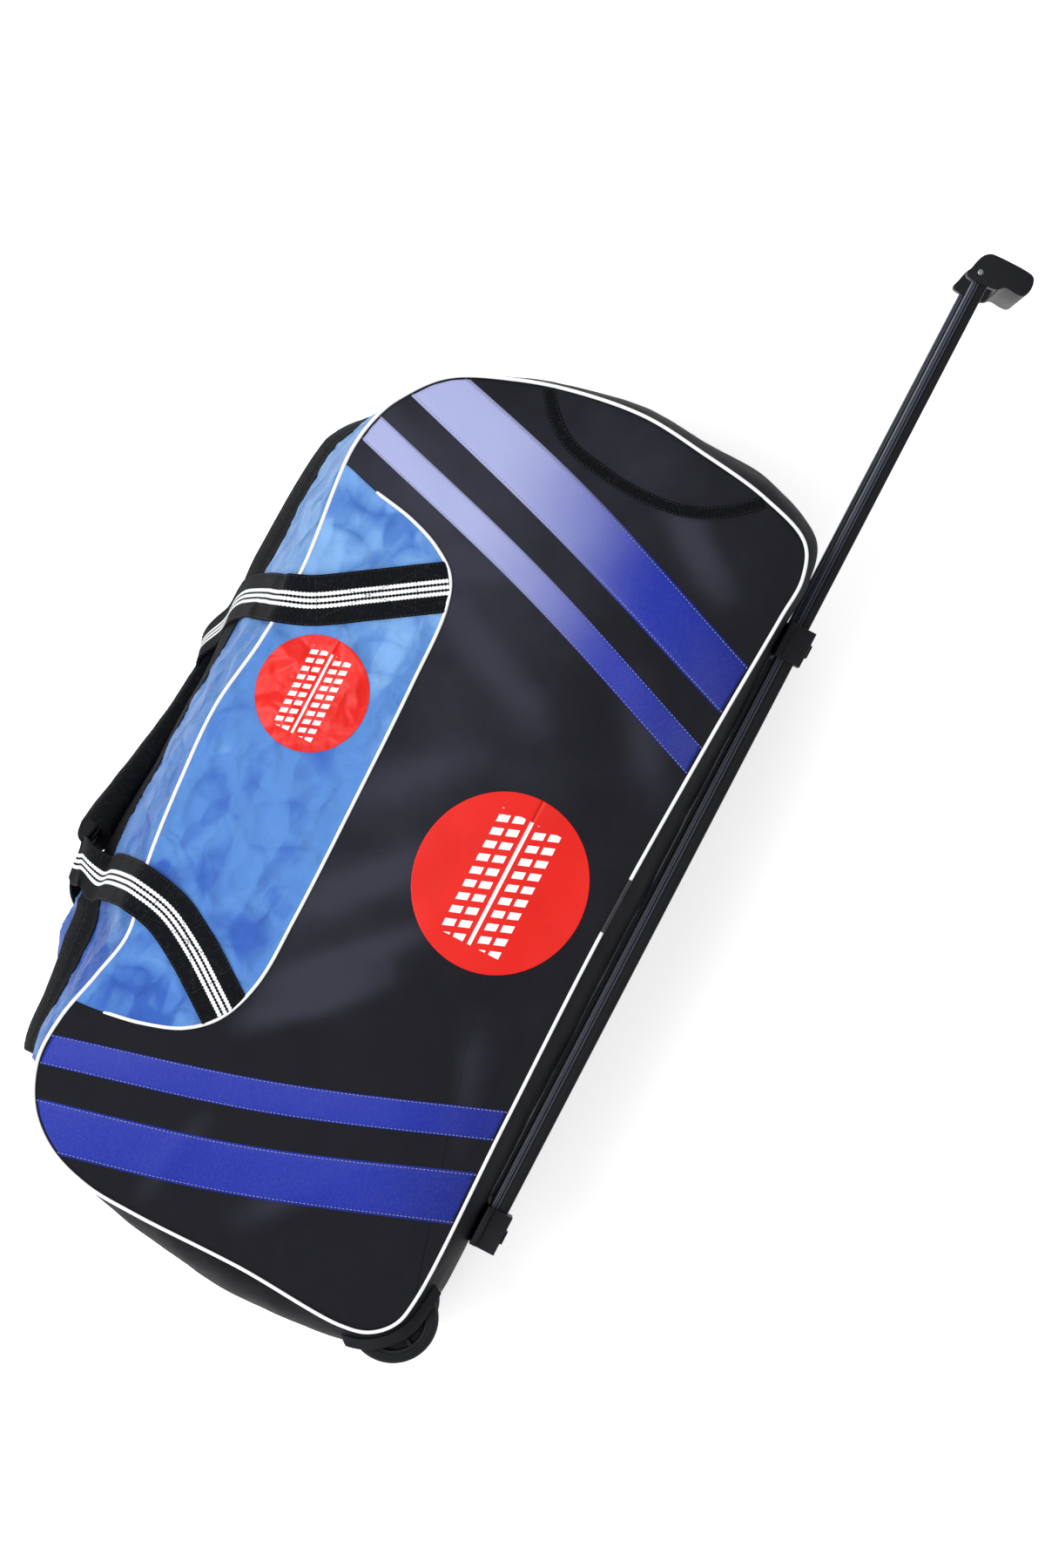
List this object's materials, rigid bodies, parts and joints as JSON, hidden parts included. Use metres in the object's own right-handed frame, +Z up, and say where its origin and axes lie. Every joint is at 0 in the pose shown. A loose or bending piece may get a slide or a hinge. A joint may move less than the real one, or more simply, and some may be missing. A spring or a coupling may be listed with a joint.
{
  "type": "wheeled cricket kit bag",
  "caption": "Soft long kit bag lying on its back, with padded carry handles, a zip along one side, corner wheels and a sliding trolley handle.",
  "frame": {"origin": "on the surface that the bag lies on, under the middle of its back panel", "axes": "+X along the bag towards the trolley grip, +Y from the base with the trolley tubes to the side with the zip, +Z up, out of the front panel"},
  "size_m": [1.1817, 0.5542, 0.3393],
  "materials": {
    "cloth_black": "coated polyester, fine ribbed weave",
    "cloth_blue": "shiny coated polyester, creased",
    "stripe_blue": "satin ribbon, stitched at both edges",
    "webbing_black": "ribbed webbing",
    "piping_white": "smooth cord",
    "piping_black": "smooth cord",
    "zip_teeth": "moulded coil",
    "plastic_black": "moulded, fine texture",
    "anodised_black": "black anodised, grooved",
    "bare_metal": "plain",
    "tyre_black": "smooth tread"
  },
  "bodies": {
    "bag": {"front_panel": "cloth_black", "front_yoke": "cloth_blue", "yoke_piping": "piping_white", "stripe_handle_narrow": "stripe_blue", "stripe_handle_wide": "stripe_blue", "stripe_wheel_narrow": "stripe_blue", "stripe_wheel_wide": "stripe_blue", "end_patch": "cloth_black", "patch_binding": "webbing_black", "back_panel": "cloth_black", "piping_front": "piping_white", "piping_back": "piping_black", "piping_joint": "piping_black", "base_gusset": "cloth_black", "end_gusset_handle": "cloth_black", "end_gusset_wheel": "cloth_black", "top_gusset_front": "cloth_blue", "top_gusset_back": "cloth_blue", "zip_tape_front": "webbing_black", "zip_tape_back": "webbing_black", "zip_chain": "zip_teeth", "zip_slider": "bare_metal", "handle_front": "webbing_black", "handle_back": "webbing_black", "handle_wrap": "cloth_black", "bracket_lower": "plastic_black", "bracket_upper": "plastic_black", "tube_near": "anodised_black", "tube_far": "anodised_black", "wheel_housing_near": "plastic_black", "wheel_housing_far": "plastic_black", "axle_near": "bare_metal", "axle_far": "bare_metal"},
    "trolley": {"rod_near": "anodised_black", "rod_far": "anodised_black", "grip": "plastic_black", "grip_screw_near": "bare_metal", "grip_screw_far": "bare_metal"},
    "wheel_near": {"tyre_near": "tyre_black", "hub_near": "plastic_black"},
    "wheel_far": {"tyre_far": "tyre_black", "hub_far": "plastic_black"}
  },
  "joints": [
    {"name": "trolley_slide", "type": "slide", "parent": "bag", "child": "trolley", "axis": [1, 0, 0], "range_m": [-0.29, 0]},
    {"name": "wheel_near_spin", "type": "hinge", "parent": "bag", "child": "wheel_near", "pos_m": [-0.407, -0.1965, 0.285], "axis": [0, 0, 1], "continuous": true},
    {"name": "wheel_far_spin", "type": "hinge", "parent": "bag", "child": "wheel_far", "pos_m": [-0.407, -0.1965, 0.055], "axis": [0, 0, 1], "continuous": true}
  ]
}
